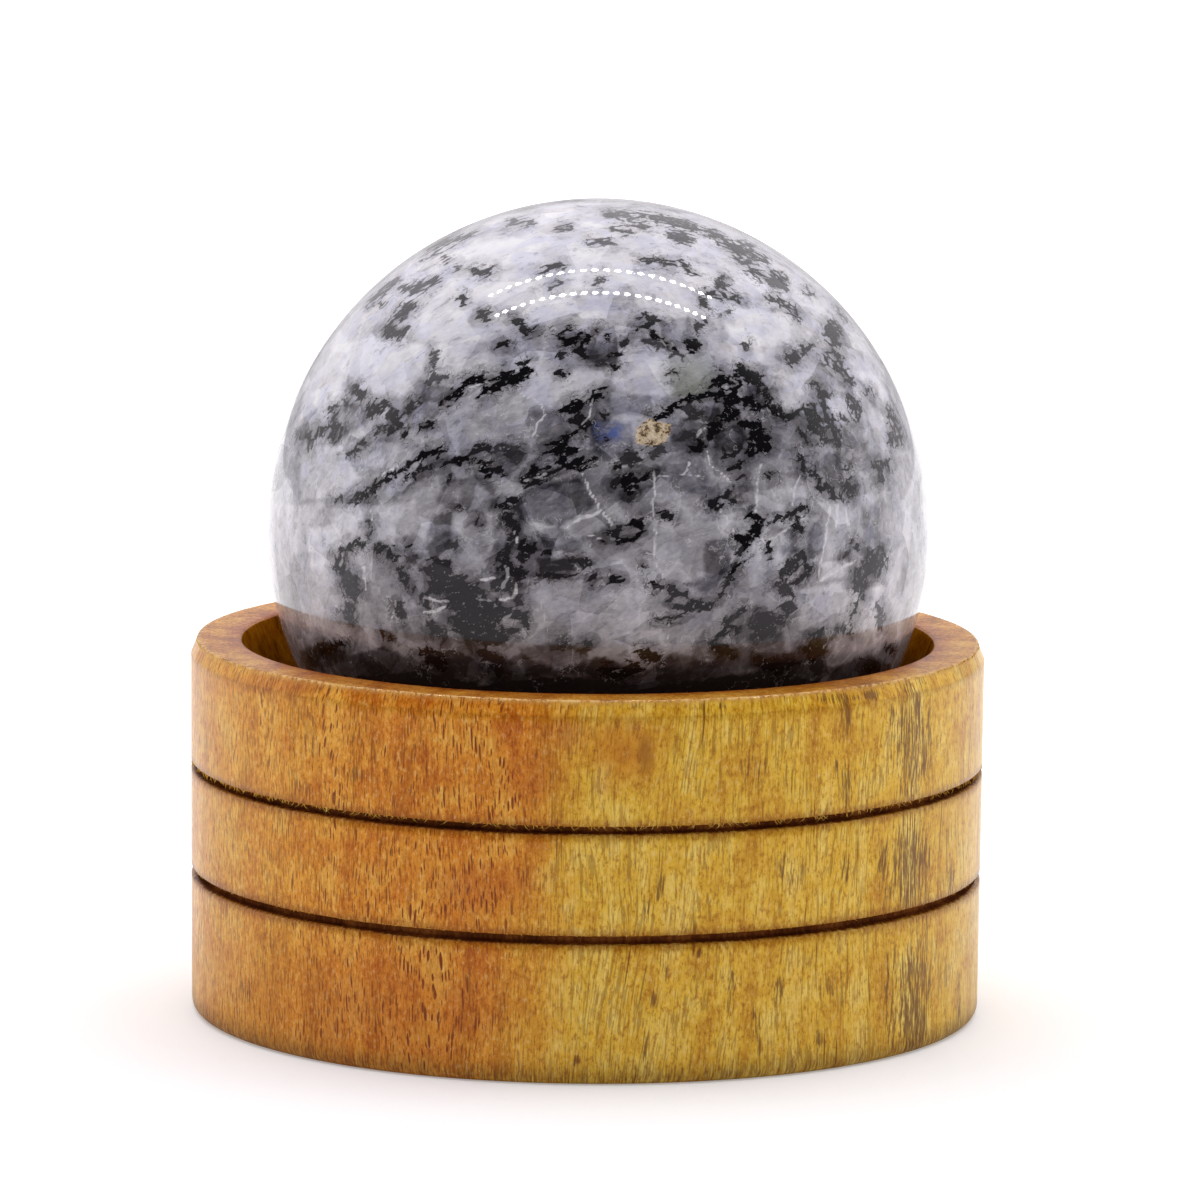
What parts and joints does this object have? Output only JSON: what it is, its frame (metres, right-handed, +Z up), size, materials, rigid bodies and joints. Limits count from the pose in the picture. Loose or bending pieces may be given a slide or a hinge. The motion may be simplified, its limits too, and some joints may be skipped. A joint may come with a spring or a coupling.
{
  "type": "decorative stone sphere on a wooden stand",
  "caption": "Polished stone ball, white and lilac-grey with black veins, lying loose in the dish of a low turned wooden stand with burnt grooves round its side.",
  "frame": {"origin": "centre of the stand's underside, on the stand's turning axis", "axes": "+Z up along the stand's turning axis, -Y towards the side that the picture shows, +X to that view's right"},
  "size_m": [0.06, 0.06, 0.0616],
  "materials": {
    "stone": "polished to a high gloss",
    "wood": "turned and sanded, thin satin finish, grooves burnt dark"
  },
  "bodies": {
    "root": {"wooden_stand": "wood", "stone_ball": "stone"}
  },
  "joints": []
}
